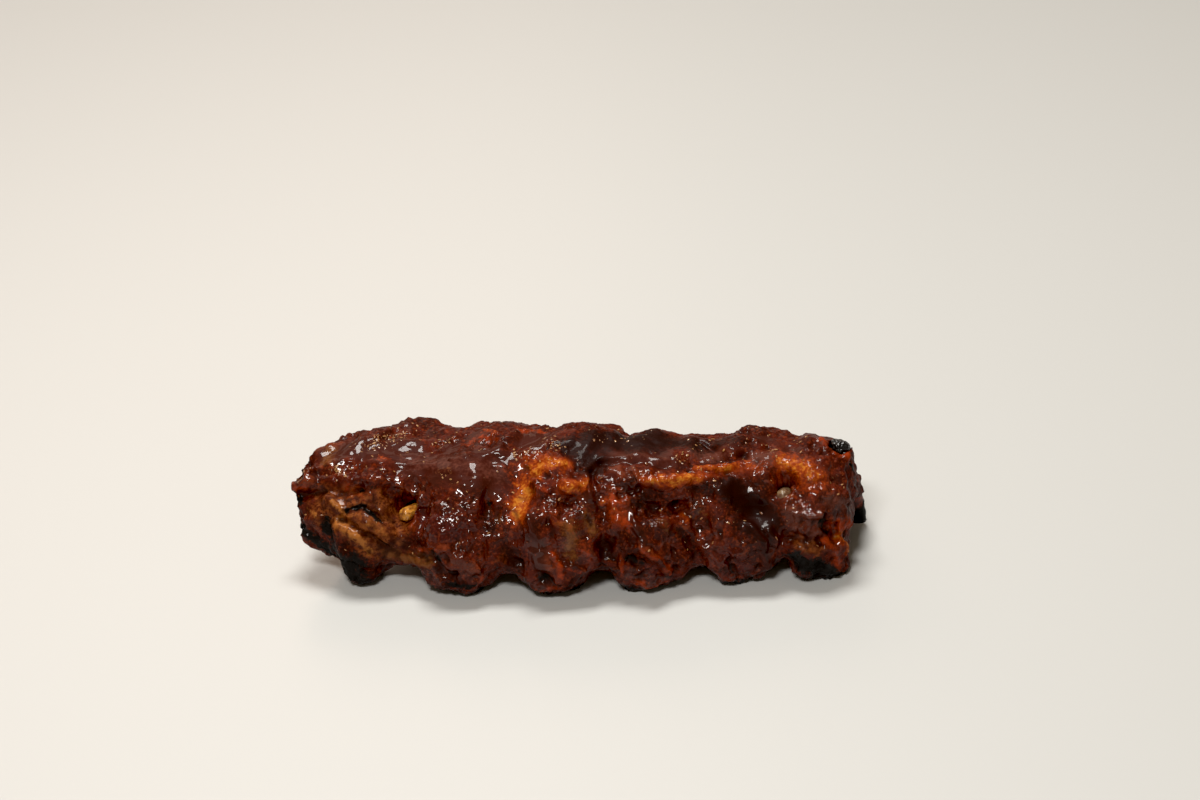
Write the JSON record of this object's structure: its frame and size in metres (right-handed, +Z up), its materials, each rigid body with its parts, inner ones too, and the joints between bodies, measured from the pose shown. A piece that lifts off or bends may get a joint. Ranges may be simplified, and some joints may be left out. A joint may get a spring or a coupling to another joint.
{
  "type": "barbecue ribs",
  "caption": "Half rack of glazed barbecue pork ribs, lying arched with the meat side up, charred bone ends showing.",
  "frame": {"origin": "bottom centre of the bounding box, on the surface that the rack lies on", "axes": "+X along the rack, across its ribs, towards the end with the charred bone tip; +Y back from the thick front wall; +Z up"},
  "size_m": [0.1714, 0.0738, 0.0401],
  "materials": {
    "glazed_meat": "glossy dark mahogany barbecue glaze over browned pork, charred at the edges",
    "charred_bone": "dry rib bone, tan in the middle and burnt black at the ends",
    "gristle": "moist yellow gristle"
  },
  "bodies": {
    "root": {"meat": "glazed_meat", "rib_bone_1": "charred_bone", "rib_bone_2": "charred_bone", "rib_bone_3": "charred_bone", "rib_bone_4": "charred_bone", "rib_bone_5": "charred_bone", "rib_bone_6": "charred_bone", "bone_spur_back": "charred_bone", "gristle_spur_left": "gristle", "gristle_spur_right": "gristle"}
  },
  "joints": []
}
